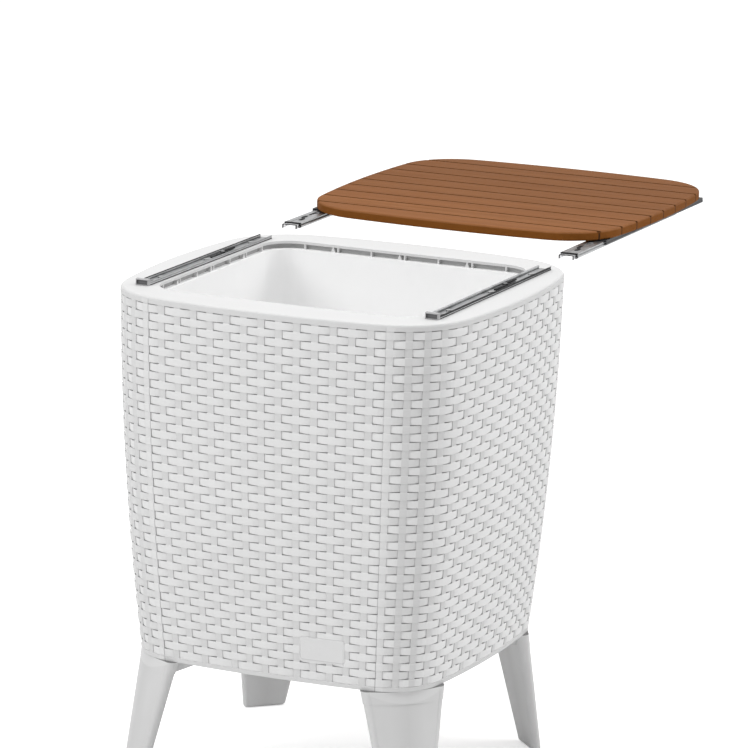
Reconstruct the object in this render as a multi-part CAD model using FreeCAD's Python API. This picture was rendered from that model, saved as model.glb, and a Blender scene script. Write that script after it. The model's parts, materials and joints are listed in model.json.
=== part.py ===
import FreeCAD, Part
import math
import os

Vector = FreeCAD.Vector

# Tub: a square with bowed sides that narrows towards its base
rim_half = 245.0            # half the rim's width across its flats
rim_side_radius = 1020.0    # bow of each side at the rim
rim_corner_radius = 102.0
waist_taper = 12.0          # how far each side has come in at half height
base_taper = 35.0           # how far each side has come in at the bottom edge
base_side_radius = 1420.0
base_corner_radius = 73.0
tub_height = 470.0          # rim top to the bottom edge of the panels
leg_height = 168.0          # floor to the bottom edge of the panels

# Woven-look wall panels: the side panels wrap round the corners
panel_wall = 2.6
seam_top_inset = 85.0       # seam of the front and side panels, inside the rim's half width
seam_lean = 16.5            # how far that seam leans in down to the bottom edge
seam_gap = 0.6

# Bare plate low on the front panel
plate_x = 75.0              # plate's middle, right of the tub's middle
plate_low = 27.0            # plate's lower edge above the bottom edge of the panels
plate_width = 55.0
plate_height = 32.0
plate_rise = 0.8

# Rim frame
rim_width = 61.0            # top face, outer edge to opening
rim_plate = 3.5
rim_edge_height = 3.0       # outer edge, above the panels
rim_edge_radius = 2.5
opening_corner_radius = 40.0
recess_height = 6.5         # shaded band under the rim's inner edge
recess_depth = 5.0
rim_inner_wall = 2.5
lip_depth = 12.0            # tongue that locates the panels
lip_wall = 2.5
lip_clearance = 1.0
rib_spacing = 47.5
ribs_per_side = 7
rib_width = 2.0
gusset_width = 6.0
gusset_tip = 1.2
gusset_gap = 7.0            # gusset beside every second rib

# Liner
liner_step = 4.0            # the liner's mouth stands this far inside the opening
liner_wall = 3.0
liner_floor_height = 60.0   # liner floor above the bottom edge of the panels
liner_draft = 14.0          # how far each wall leans in over its depth
liner_corner_radius = 38.0
liner_flange = 24.0

# Insulation boards
board_thickness = 20.0
board_end_inset = 14.0
board_fit = 0.3

# Base tray
tray_recess = 3.0           # underside above the bottom edge of the panels
tray_plate = 3.0
tray_upstand = 25.0
tray_wall = 3.0
tray_fit = 0.3
tray_boss_height = 12.0
tray_boss_radius = 5.0
tray_rib = 3.0

# Legs: blades with a bowed outer face, set on the diagonals
leg_top_inset = 74.0        # leg's middle inside the rim's half width, at the panels' bottom edge
leg_foot_inset = 51.0
leg_top_width = 109.0
leg_top_thickness = 25.0
leg_foot_width = 60.0
leg_foot_thickness = 17.0
leg_bow_share = 0.35        # sagitta of the outer face, as a share of the thickness
leg_collar = 17.0           # raised band at the top
leg_collar_rise = 0.8
leg_neck_width = 78.0       # neck that rises inside the panels to the tray
leg_neck_thickness = 9.0
foot_round = 6.0
bracket_length = 50.0       # mounting bracket on the inner face
bracket_width = 80.0
bracket_edge = 6.0
leg_screw_spacing = 28.0
leg_screw_inset = 16.0
leg_screw_radius = 2.0
leg_screw_head_radius = 4.0
leg_screw_head = 3.0
screw_fit = 0.1

# Telescopic slides: rail fixed to the rim, middle rail, and rail under the top
rail_length = 350.0
rail_shift = 5.5            # rail middle behind the tub's middle
rail_edge_gap = 4.5         # opening edge to fixed rail
rail_sheet = 1.0
fixed_rail_half = 9.0
ball_radius = 1.25
ball_fit = 0.1
lower_ball_height = 2.6     # ball centre above the rim
wrap_low = 50.0             # degrees that a raceway wraps below or above its ball
wrap_s = 40.0               # slope of the middle rail's S between the two ball rows
fixed_flange_height = 4.2
middle_web_height = 7.0
top_web_height = 9.2
cage_sheet = 0.5
lower_cage_height = 5.9
upper_cage_height = 8.1
cage_drop = 1.8             # cage lip below its balls
cage_length = 120.0
cage_ball_fit = 0.1
balls_per_row = 4
cage_end_margin = 12.0
lower_cage_reach = 10.0     # lower cage in front of the middle rail's front end, drawn off
upper_cage_shift = 69.5     # upper cage behind the middle rail's middle, drawn off
middle_withdrawn = 430.0    # middle rails behind their closed place, top drawn off
top_advance = 99.0          # top behind the middle rails' place

# Rail stop, release lever and catch
stop_plate = 6.0
stop_plate_height = 8.4
stop_frame = 1.6            # frame left round the pocket in the plate's front
stop_pocket = 2.5
stop_round = 1.2
stop_tongue = 14.0
stop_fit = 0.2
lever_place = 0.635         # pivot along the fixed rail, from its front end
lever_arm = 38.0
lever_width = 3.6
lever_sway = 2.2
lever_thickness = 1.8
lever_level = 1.2           # lever's underside above the fixed rail's web
lever_play = 0.3
lever_hub_radius = 3.4
pivot_radius = 1.6
pivot_fit = 0.06
pivot_head_radius = 2.6
pivot_head = 0.6
catch_place = 34.0          # catch middle behind the middle rail's front end
catch_length = 30.0
catch_width = 9.0
catch_fit = 0.15
catch_stand = 0.5
slot_place = 68.0           # open slot behind the middle rail's front end
slot_length = 26.0
slot_width = 8.0

# Rail screws
rail_screw_inset = 46.0
rail_screws = 3
rail_screw_radius = 1.75
rail_screw_head_radius = 3.4
rail_screw_head = 1.8
rail_boss_radius = 4.5
top_screw_bite = 8.0

# Plank-look table top
top_inset = 22.0            # table top's edge inside the rim's edge
top_side_radius = 1480.0
top_corner_radius = 84.0
top_thickness = 12.0
top_edge_radius = 2.5
plank_count = 10
groove_width = 4.6
groove_floor = 2.4
groove_depth = 2.4
top_plate = 4.5
top_skirt = 14.0
top_rib = 4.0
pocket_columns = 4
pocket_rows = 5
rail_pad_half = 21.0

# Drain
drain_inset = 135.0         # drain's middle inside the rim's half width, towards the back
drain_radius = 12.0
drain_wall = 3.0
drain_flange_radius = 20.0
drain_flange = 3.0
drain_gasket = 1.5
drain_below = 16.0
drain_fit = 0.15
drain_nut_radius = 18.0
drain_nut = 8.0
plug_fit = 0.06
plug_stem = 18.0
plug_head_radius = 15.0
plug_head = 4.0
plug_tab_width = 5.0
plug_tab_height = 12.0

overrun = 5.0               # how far a cutting shape runs past what it cuts

# Levels and places that follow from the sizes above
panel_bottom = leg_height
rim_top = leg_height + tub_height
flange_top = rim_top - rim_plate - recess_height
panel_top = rim_top - rim_edge_height
panel_middle = (panel_bottom + panel_top) / 2
opening_half = rim_half - rim_width
mouth_half = opening_half - liner_step
liner_floor = panel_bottom + liner_floor_height
liner_depth = flange_top - liner_floor
tray_bottom = panel_bottom + tray_recess
tray_top = tray_bottom + tray_plate
seam_top_x = rim_half - seam_top_inset
leg_top_reach = rim_half - leg_top_inset     # along X and along Y from the centre
leg_foot_reach = rim_half - leg_foot_inset
collar_low = panel_bottom - leg_collar
rail_x = opening_half + rail_edge_gap + fixed_rail_half
rail_front = rail_shift - rail_length / 2
race_radius = ball_radius + ball_fit + rail_sheet / 2
lower_ball_x = (fixed_rail_half - rail_sheet / 2
                + race_radius * math.cos(math.radians(wrap_low)))
upper_ball_x = lower_ball_x + 2 * race_radius * math.cos(math.radians(wrap_s))
upper_ball_height = lower_ball_height + 2 * race_radius * math.sin(math.radians(wrap_s))
slide_height = top_web_height + rail_sheet / 2
top_withdrawn = middle_withdrawn + top_advance
top_half = rim_half - top_inset
table_bottom = rim_top + slide_height
table_top_level = table_bottom + top_thickness
drain_y = rim_half - drain_inset
drain_bottom = tray_bottom - drain_below
origin_y = (top_withdrawn + top_half - rim_half) / 2   # middle of the whole arrangement
lever_y = rail_front + lever_place * rail_length
middle_front = rail_front + middle_withdrawn
top_rail_front = middle_front + top_advance - rail_shift
sides = {"left": -1, "right": 1}


def save(name, *solids):
    """Write one node, moved so that the middle of the whole arrangement is the origin."""
    shape = solids[0] if len(solids) == 1 else Part.makeCompound(list(solids))
    shape = shape.copy()
    shape.translate(Vector(0, -origin_y, 0))
    shape.exportStep("parts/" + name + ".step")


def fused(first, *others):
    """One clean solid from pieces that touch or overlap."""
    return first.multiFuse(list(others)).removeSplitter()


def arc_edge(start, middle, end):
    return Part.Arc(start, middle, end).toShape()


def four_sided(edges_of_one_side):
    """Closed wire from the edges of one side, turned four times about Z."""
    edges = []
    for turn in range(4):
        for edge in edges_of_one_side:
            turned = edge.copy()
            turned.rotate(Vector(0, 0, 0), Vector(0, 0, 1), 90 * turn)
            edges.append(turned)
    return Part.Wire(edges)


def bowed_square(half, side_radius, corner_radius, z):
    """Square whose four sides are arcs, blended by four tangent corner arcs."""
    side_centre = half - side_radius
    reach = side_radius - corner_radius
    corner = (side_centre + math.sqrt(2 * reach ** 2 - side_centre ** 2)) / 2
    join_x = side_centre + side_radius * (corner - side_centre) / reach
    join_y = side_radius * corner / reach
    bend = corner + corner_radius * math.sqrt(0.5)
    side = arc_edge(Vector(join_x, -join_y, z), Vector(half, 0, z), Vector(join_x, join_y, z))
    turn = arc_edge(Vector(join_x, join_y, z), Vector(bend, bend, z), Vector(join_y, join_x, z))
    return four_sided([side, turn])


def rounded_square(half, corner_radius, z):
    """Square with straight sides and round corners."""
    flat = half - corner_radius
    bend = flat + corner_radius * math.sqrt(0.5)
    side = Part.makeLine(Vector(half, -flat, z), Vector(half, flat, z))
    turn = arc_edge(Vector(half, flat, z), Vector(bend, bend, z), Vector(flat, half, z))
    return four_sided([side, turn])


def tub_section(z, inset=0.0):
    """Outline of the tub's outer skin at a height, drawn in by an even inset."""
    share = (rim_top - z) / tub_height
    taper = share * (4 * waist_taper - base_taper) + share ** 2 * (2 * base_taper - 4 * waist_taper)
    side_radius = rim_side_radius + share * (base_side_radius - rim_side_radius)
    corner_radius = rim_corner_radius + share * (base_corner_radius - rim_corner_radius)
    return bowed_square(rim_half - taper - inset, side_radius - inset, corner_radius - inset, z)


def loft(sections, ruled=True):
    return Part.makeLoft(sections, True, ruled)


def prism(wire, height):
    return Part.Face(wire).extrude(Vector(0, 0, height))


def polygon(points):
    return Part.makePolygon(points + [points[0]])


def cylinder(radius, x, y, low, high):
    return Part.makeCylinder(radius, high - low, Vector(x, y, low))


def box(x0, x1, y0, y1, z0, z1):
    return Part.makeBox(x1 - x0, y1 - y0, z1 - z0, Vector(x0, y0, z0))


def screw_rows(count, inset, length):
    """Even places along a length, the first and last one inset from its ends."""
    step = (length - 2 * inset) / (count - 1)
    return [inset + step * index for index in range(count)]


# Wall panels
def seam_at(z):
    share = (rim_top - z) / tub_height
    return seam_top_x - share * seam_lean


def between_seams(inner, outer, y0, y1):
    """Upright prism between two lines in X, each given as a function of height."""
    low = panel_bottom - overrun
    high = panel_top + overrun
    corners = [Vector(inner(low), y0, low), Vector(outer(low), y0, low),
               Vector(outer(high), y0, high), Vector(inner(high), y0, high)]
    return Part.Face(polygon(corners)).extrude(Vector(0, y1 - y0, 0))


def tub_shell(low, high, outer_inset, inner_inset):
    """Shell of the tub between two heights and two insets."""
    outer = loft([tub_section(z, outer_inset) for z in (low, panel_middle, high)], False)
    levels = (low - overrun, panel_middle, high + overrun)
    inner = loft([tub_section(z, inner_inset) for z in levels], False)
    return outer.cut(inner)


def front_plate():
    """Plate that stands proud of the front panel and reaches half way into its wall."""
    shell = tub_shell(panel_bottom, panel_top, -plate_rise, panel_wall / 2)
    low = panel_bottom + plate_low
    window = box(plate_x - plate_width / 2, plate_x + plate_width / 2, -rim_half - overrun, 0,
                 low, low + plate_height)
    return shell.common(window)


def wall_panels():
    skin = tub_shell(panel_bottom, panel_top, 0.0, panel_wall)
    far = rim_half + overrun
    half_gap = seam_gap / 2
    front = between_seams(lambda z: half_gap - seam_at(z), lambda z: seam_at(z) - half_gap, -far, 0)
    back = between_seams(lambda z: half_gap - seam_at(z), lambda z: seam_at(z) - half_gap, 0, far)
    left = between_seams(lambda z: -far, lambda z: -seam_at(z) - half_gap, -far, far)
    right = between_seams(lambda z: seam_at(z) + half_gap, lambda z: far, -far, far)
    cutters = {"front_panel": front, "back_panel": back, "left_panel": left, "right_panel": right}
    for name, cutter in cutters.items():
        panel = skin.common(cutter).Solids[0]
        if name == "front_panel":
            panel = fused(panel, front_plate())
        save(name, panel)


# Rim frame with its shaded inner band, ribs and gussets
def rim_rib(place, foot_width, tip_width):
    """One rib or gusset of the right-hand side, in the recess under the plate."""
    x = opening_half
    low = flange_top
    high = rim_top - rim_plate
    deep = Vector(recess_depth + rim_inner_wall / 2, 0, 0)
    foot = foot_width / 2
    tip = tip_width / 2
    corners = [(place - foot, low), (place + foot, low), (place + tip, high), (place - tip, high)]
    return Part.Face(polygon([Vector(x, y, z) for y, z in corners])).extrude(deep)


def side_ribs():
    """Ribs of the right-hand side, with a gusset beside every second one."""
    ribs = []
    for index in range(ribs_per_side):
        place = rib_spacing * (index - (ribs_per_side - 1) / 2)
        ribs.append(rim_rib(place, rib_width, rib_width))
        if index % 2 == 1:
            ribs.append(rim_rib(place + gusset_gap, gusset_width, gusset_tip))
    return ribs


def rim_frame():
    lip_inset = panel_wall + lip_clearance
    hollow_inset = lip_inset + lip_wall
    block = prism(tub_section(rim_top), panel_top - rim_top)
    top_edges = [e for e in block.Edges if all(abs(v.Z - rim_top) < 1e-6 for v in e.Vertexes)]
    block = block.makeFillet(rim_edge_radius, top_edges)
    lip_low = flange_top - lip_depth
    lip = prism(tub_section(rim_top, lip_inset), lip_low - panel_top)
    lip.translate(Vector(0, 0, panel_top - rim_top))
    block = fused(block, lip)
    plate_under = rim_top - rim_plate
    hollow = prism(tub_section(rim_top, hollow_inset), lip_low - overrun - plate_under)
    hollow.translate(Vector(0, 0, plate_under - rim_top))
    recess_half = opening_half + recess_depth
    wall_half = recess_half + rim_inner_wall
    wall_corner = opening_corner_radius + recess_depth + rim_inner_wall
    wall = prism(rounded_square(wall_half, wall_corner, flange_top), plate_under - flange_top)
    block = block.cut(hollow.cut(wall))
    recess = prism(rounded_square(recess_half, opening_corner_radius + recess_depth, flange_top - overrun),
                   plate_under - flange_top + overrun)
    opening = prism(rounded_square(opening_half, opening_corner_radius, flange_top - overrun),
                    rim_top - flange_top + 2 * overrun)
    block = block.cut(recess).cut(opening)
    details = []
    for turn in range(4):
        for rib in side_ribs():
            rib.rotate(Vector(0, 0, 0), Vector(0, 0, 1), 90 * turn)
            details.append(rib)
    holes = []
    for x in (-rail_x, rail_x):
        for along in screw_rows(rail_screws, rail_screw_inset, rail_length):
            y = rail_front + along
            details.append(cylinder(rail_boss_radius, x, y, flange_top, plate_under))
            hole = cylinder(rail_screw_radius + screw_fit, x, y, flange_top - overrun, rim_top + overrun)
            holes.append(hole)
    block = fused(block, *details)
    return block.cut(Part.makeCompound(holes))


# Liner with its flange and drain hole
def liner_half_at(z, outer):
    lean = liner_draft * (flange_top - z) / liner_depth
    return mouth_half - lean + (liner_wall if outer else 0.0)


def liner_section(z, outer):
    radius = liner_corner_radius + (liner_wall if outer else 0.0)
    return rounded_square(liner_half_at(z, outer), radius, z)


def liner():
    under = liner_floor - liner_wall
    body = loft([liner_section(under, True), liner_section(flange_top, True)])
    flange = prism(rounded_square(mouth_half + liner_flange, liner_corner_radius + liner_flange, flange_top),
                   -liner_wall)
    cavity = loft([liner_section(liner_floor, False), liner_section(flange_top + overrun, False)])
    drain = cylinder(drain_radius + drain_fit, 0, drain_y, under - overrun, liner_floor + overrun)
    return fused(body, flange).cut(cavity).cut(drain)


# Insulation
def wall_board():
    """Board on the liner's right-hand wall, leaning with it."""
    low = liner_floor - liner_wall
    high = flange_top - liner_wall - board_fit
    faces = []
    for z in (low, high):
        inner = liner_half_at(z, True) + board_fit
        reach = liner_half_at(z, True) - board_end_inset
        corners = [Vector(inner, -reach, z), Vector(inner + board_thickness, -reach, z),
                   Vector(inner + board_thickness, reach, z), Vector(inner, reach, z)]
        faces.append(polygon(corners))
    return loft(faces)


def insulation():
    for turn, name in enumerate(("right", "back", "left", "front")):
        board = wall_board()
        board.rotate(Vector(0, 0, 0), Vector(0, 0, 1), 90 * turn)
        save("insulation_" + name, board)
    low = tray_top + tray_boss_height
    high = liner_floor - liner_wall - board_fit
    half = liner_half_at(liner_floor, True) - board_end_inset
    base = box(-half, half, -half, half, low, high)
    drain = cylinder(drain_radius + board_fit, 0, drain_y, low - overrun, high + overrun)
    save("insulation_base", base.cut(drain))


# Base tray
def leg_turns():
    """Names of the legs and the angle of each diagonal."""
    return {"leg_back_right": 45, "leg_back_left": 135, "leg_front_left": 225, "leg_front_right": 315}


def on_diagonal(shape, angle):
    shape.rotate(Vector(0, 0, 0), Vector(0, 0, 1), angle)
    return shape


def leg_inner_face():
    return leg_top_reach * math.sqrt(2) - leg_top_thickness / 2


def leg_screw_places():
    radial = leg_inner_face() - leg_screw_inset
    return [(radial, leg_screw_spacing / 2), (radial, -leg_screw_spacing / 2)]


def base_tray():
    inset = panel_wall + tray_fit
    rise = tray_bottom + tray_upstand
    body = loft([tub_section(tray_bottom, inset), tub_section(rise, inset)])
    inside = loft([tub_section(tray_top, inset + tray_wall), tub_section(rise + overrun, inset + tray_wall)])
    body = body.cut(inside)
    details = []
    holes = [cylinder(drain_radius + drain_fit, 0, drain_y, tray_bottom - overrun, rise)]
    boss_top = tray_top + tray_boss_height
    for angle in leg_turns().values():
        for radial, across in leg_screw_places():
            details.append(on_diagonal(cylinder(tray_boss_radius, radial, across, tray_top, boss_top), angle))
            hole = cylinder(leg_screw_radius + screw_fit, radial, across, tray_bottom - overrun, rise)
            holes.append(on_diagonal(hole, angle))
    reach = rim_half - base_taper - inset - tray_wall / 2
    rib = box(-reach, reach, -tray_rib / 2, tray_rib / 2, tray_top, boss_top)
    for angle in (0, 90):
        details.append(on_diagonal(rib.copy(), angle))
    return fused(body, *details).cut(Part.makeCompound(holes))


# Legs
def leg_section(z, reach, width, thickness):
    """Blade section across the diagonal: bowed outside, flat inside, round ends."""
    outer = reach * math.sqrt(2) + thickness / 2
    inner = outer - thickness
    shoulder = outer - leg_bow_share * thickness
    half = width / 2
    turn_in = half - thickness / 3
    out_low = Vector(shoulder, -turn_in, z)
    out_high = Vector(shoulder, turn_in, z)
    in_high = Vector(inner, turn_in, z)
    in_low = Vector(inner, -turn_in, z)
    middle = (shoulder + inner) / 2
    return Part.Wire([arc_edge(out_low, Vector(outer, 0, z), out_high),
                      arc_edge(out_high, Vector(middle, half, z), in_high),
                      Part.makeLine(in_high, in_low),
                      arc_edge(in_low, Vector(middle, -half, z), out_low)])


def leg_at(z, grow=0.0):
    """Section at a height of the straight taper from the panels to the foot, made larger all round."""
    share = (z - foot_round) / (panel_bottom - foot_round)
    reach = leg_foot_reach + share * (leg_top_reach - leg_foot_reach)
    width = leg_foot_width + share * (leg_top_width - leg_foot_width)
    thickness = leg_foot_thickness + share * (leg_top_thickness - leg_foot_thickness)
    return leg_section(z, reach, width + 2 * grow, thickness + 2 * grow)


def leg_blade():
    collar = loft([leg_at(panel_bottom, leg_collar_rise), leg_at(collar_low, leg_collar_rise)])
    neck_wire = leg_section(panel_bottom, leg_top_reach, leg_neck_width, leg_neck_thickness)
    neck = prism(neck_wire, tray_bottom - panel_bottom)
    sections = [leg_at(panel_bottom)]
    for angle in (0, 30, 60, 90):
        z = foot_round * (1 - math.sin(math.radians(angle)))
        inset = 2 * foot_round * (1 - math.cos(math.radians(angle)))
        sections.append(leg_section(z, leg_foot_reach, leg_foot_width - inset, leg_foot_thickness - inset))
    return fused(collar, neck, loft(sections))


def leg():
    """One leg on the +X axis, with its mounting bracket and screw holes."""
    face = leg_inner_face()
    inside = face + leg_top_thickness / 2
    tip = face - bracket_length
    half = bracket_width / 2
    side = [Vector(inside, -half, tray_bottom), Vector(tip, -half, tray_bottom),
            Vector(tip, -half, tray_bottom - bracket_edge), Vector(face, -half, collar_low),
            Vector(inside, -half, collar_low)]
    bracket = Part.Face(polygon(side)).extrude(Vector(0, bracket_width, 0))
    body = fused(leg_blade(), bracket)
    seat = tray_bottom - bracket_edge
    for radial, across in leg_screw_places():
        hole = cylinder(leg_screw_radius + screw_fit, radial, across, seat - overrun, tray_bottom + overrun)
        body = body.cut(hole)
        counterbore = cylinder(leg_screw_head_radius + 2 * screw_fit, radial, across, seat - leg_collar, seat)
        body = body.cut(counterbore)
    return body


def leg_screw(radial, across):
    seat = tray_bottom - bracket_edge
    head = cylinder(leg_screw_head_radius, radial, across, seat - leg_screw_head, seat)
    shank = cylinder(leg_screw_radius, radial, across, seat - leg_screw_head / 2, tray_top + tray_boss_height)
    return fused(head, shank)


def legs():
    screws = []
    for name, angle in leg_turns().items():
        save(name, on_diagonal(leg(), angle))
        for radial, across in leg_screw_places():
            screws.append(on_diagonal(leg_screw(radial, across), angle))
    save("leg_screws", *screws)


# Slide rails: bent sheet sections drawn across the rail, with Z from the rim's top
def race_arc(x, z, start, end):
    """Part of the sheet's middle line where it wraps a ball row, and its two ends."""
    points = []
    for angle in (start, (start + end) / 2, end):
        turn = math.radians(angle)
        points.append(Vector(x + race_radius * math.cos(turn), 0, z + race_radius * math.sin(turn)))
    return arc_edge(*points), points[0], points[2]


def bent_sheet(right_half, thickness, length):
    """Strip of even thickness along a middle line that is mirrored in X, run along Y."""
    left_half = [edge.mirror(Vector(0, 0, 0), Vector(1, 0, 0)) for edge in right_half]
    line = Part.Wire(Part.__sortEdges__(left_half + right_half))
    outline = line.makeOffset2D(thickness / 2, 0, False, False, False)
    return Part.Face(outline).extrude(Vector(0, length, 0))


def fixed_rail_section():
    web = rail_sheet / 2
    race, low, high = race_arc(lower_ball_x, lower_ball_height, 180 + wrap_low, 180 - wrap_low)
    corner = Vector(low.x, 0, web)
    return [Part.makeLine(Vector(0, 0, web), corner), Part.makeLine(corner, low), race,
            Part.makeLine(high, Vector(high.x, 0, fixed_flange_height))]


def middle_rail_section():
    upper, high, bend = race_arc(upper_ball_x, upper_ball_height, 180 - wrap_s, 180 + wrap_s)
    lower = race_arc(lower_ball_x, lower_ball_height, wrap_s, -wrap_low)[0]
    corner = Vector(high.x, 0, middle_web_height)
    return [Part.makeLine(Vector(0, 0, middle_web_height), corner), Part.makeLine(corner, high), upper, lower]


def top_rail_section():
    race, high, low = race_arc(upper_ball_x, upper_ball_height, wrap_s, -wrap_low)
    corner = Vector(high.x, 0, top_web_height)
    return [Part.makeLine(Vector(0, 0, top_web_height), corner), Part.makeLine(corner, high), race]


def placed(shape, side, y):
    """Put a shape drawn about a rail's own axis on the left or right rail line."""
    moved = shape.copy()
    moved.translate(Vector(side * rail_x, y, rim_top))
    return moved


def lever_swing_line(shift):
    """Lever outline: two straight ends on either side of the pivot, joined by a slanted bridge."""
    half = lever_width / 2
    knee = lever_arm / 5
    return [Vector(shift - half, -lever_arm, 0), Vector(shift + half, -lever_arm, 0),
            Vector(shift + half, -knee, 0), Vector(half - shift, knee, 0),
            Vector(half - shift, lever_arm, 0), Vector(-half - shift, lever_arm, 0),
            Vector(-half - shift, knee, 0), Vector(shift - half, -knee, 0)]


def rounded_plate(points, height, radius):
    """Plate with its upright edges rounded."""
    plate = Part.Face(polygon(points)).extrude(Vector(0, 0, height))
    upright = [e for e in plate.Edges if abs(e.Vertexes[0].Z - e.Vertexes[1].Z) > height / 2]
    return plate.makeFillet(radius, upright)


def long_slot(length, width, height):
    """Round-ended slot along Y, centred on the origin."""
    half = width / 2
    straight = length / 2 - half
    ends = [Vector(half, -straight, 0), Vector(half, straight, 0),
            Vector(-half, straight, 0), Vector(-half, -straight, 0)]
    wire = Part.Wire([Part.makeLine(ends[0], ends[1]),
                      arc_edge(ends[1], Vector(0, length / 2, 0), ends[2]),
                      Part.makeLine(ends[2], ends[3]),
                      arc_edge(ends[3], Vector(0, -length / 2, 0), ends[0])])
    return prism(wire, height)


def fixed_rail():
    rail = bent_sheet(fixed_rail_section(), rail_sheet, rail_length)
    pivot_y = lever_place * rail_length
    post_top = rail_sheet + lever_level + lever_thickness + lever_play
    shoulder_top = rail_sheet + lever_level - lever_play
    shoulder = cylinder(pivot_head_radius, 0, pivot_y, rail_sheet / 2, shoulder_top)
    post = cylinder(pivot_radius, 0, pivot_y, rail_sheet / 2, post_top + pivot_head / 2)
    head = cylinder(pivot_head_radius, 0, pivot_y, post_top, post_top + pivot_head)
    rail = fused(rail, shoulder, post, head)
    for y in screw_rows(rail_screws, rail_screw_inset, rail_length):
        rail = rail.cut(cylinder(rail_screw_radius + screw_fit, 0, y, -overrun, rail_sheet + overrun / 2))
    return rail


def fixed_rail_screw(y):
    depth = rim_plate + recess_height
    head = cylinder(rail_screw_head_radius, 0, y, rail_sheet, rail_sheet + rail_screw_head)
    shank = cylinder(rail_screw_radius, 0, y, -depth, rail_sheet + rail_screw_head / 2)
    return fused(head, shank)


def rail_stop():
    """Plastic end block: a tongue in the fixed rail's channel and a plate across its front end."""
    half = fixed_rail_half - rail_sheet - race_radius / 2 - stop_fit
    low = rail_sheet
    tongue = box(-half, half, -stop_plate, stop_tongue, low, fixed_flange_height)
    plate = box(-fixed_rail_half, fixed_rail_half, -stop_plate, -stop_fit, 0, stop_plate_height)
    block = fused(tongue, plate)
    front = [e for e in block.Edges if all(abs(v.Y + stop_plate) < 1e-6 for v in e.Vertexes)]
    block = block.makeFillet(stop_round, front)
    reach = fixed_rail_half - stop_frame
    pocket = box(-reach, reach, -stop_plate - overrun, stop_pocket - stop_plate,
                 stop_frame, stop_plate_height - stop_frame)
    return block.cut(pocket)


def release_lever():
    plate = rounded_plate(lever_swing_line(lever_sway), lever_thickness, lever_width / 5)
    hub = cylinder(lever_hub_radius, 0, 0, 0, lever_thickness)
    hole = cylinder(pivot_radius + pivot_fit, 0, 0, -overrun, overrun)
    plate = fused(plate, hub).cut(hole)
    plate.translate(Vector(0, 0, rail_sheet + lever_level))
    return plate


def catch_outline(grow):
    """S-shaped catch, drawn from the lever's outline at its own size."""
    half = catch_width / 4 + grow
    shift = catch_width / 4
    arm = catch_length / 2 + grow
    knee = catch_length / 8
    return [Vector(shift - half, -arm, 0), Vector(shift + half, -arm, 0), Vector(shift + half, -knee, 0),
            Vector(half - shift, knee + grow, 0), Vector(half - shift, arm, 0), Vector(-half - shift, arm, 0),
            Vector(-half - shift, knee, 0), Vector(shift - half, -knee - grow, 0)]


def middle_rail():
    rail = bent_sheet(middle_rail_section(), rail_sheet, rail_length)
    web_low = middle_web_height - rail_sheet / 2
    window = Part.Face(polygon(catch_outline(catch_fit))).extrude(Vector(0, 0, 2 * rail_sheet))
    window.translate(Vector(0, catch_place, web_low - rail_sheet / 2))
    slot = long_slot(slot_length, slot_width, 2 * rail_sheet)
    slot.translate(Vector(0, slot_place, web_low - rail_sheet / 2))
    return rail.cut(window).cut(slot)


def middle_catch():
    plate = Part.Face(polygon(catch_outline(0))).extrude(Vector(0, 0, rail_sheet + catch_stand))
    plate.translate(Vector(0, catch_place, middle_web_height - rail_sheet / 2))
    return plate


def top_rail():
    """Rail under the top, with countersunk holes through its web."""
    rail = bent_sheet(top_rail_section(), rail_sheet, rail_length)
    low = top_web_height - rail_sheet / 2
    for y in screw_rows(rail_screws, rail_screw_inset, rail_length):
        rail = rail.cut(countersink(y, low, screw_fit))
    return rail


def countersink(y, low, grow):
    """Cone of a flat-headed screw, head flush with the level given, point upwards."""
    depth = rail_screw_head_radius - rail_screw_radius
    return Part.makeCone(rail_screw_head_radius + grow, rail_screw_radius + grow, depth, Vector(0, y, low))


def top_screw(y, grow=0.0):
    low = top_web_height - rail_sheet / 2
    shank_low = low + rail_screw_head_radius - rail_screw_radius - rail_sheet / 4
    shank_high = slide_height + top_screw_bite + grow
    shank = cylinder(rail_screw_radius + grow, 0, y, shank_low, shank_high)
    return fused(countersink(y, low, grow), shank)


def ball_places():
    return screw_rows(balls_per_row, cage_end_margin, cage_length)


def cage(ball_x, ball_height, web_height):
    """Ball cage: a strip bent down along both sides, pierced where the balls sit."""
    corner = Vector(ball_x, 0, web_height)
    half = [Part.makeLine(Vector(0, 0, web_height), corner),
            Part.makeLine(corner, Vector(ball_x, 0, ball_height - cage_drop))]
    strip = bent_sheet(half, cage_sheet, cage_length)
    reach = 2 * ball_x + overrun
    for y in ball_places():
        start = Vector(-reach / 2, y, ball_height)
        strip = strip.cut(Part.makeCylinder(ball_radius + cage_ball_fit, reach, start, Vector(1, 0, 0)))
    return strip


def balls(ball_x, ball_height):
    return [Part.makeSphere(ball_radius, Vector(x, y, ball_height))
            for y in ball_places() for x in (-ball_x, ball_x)]


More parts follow.
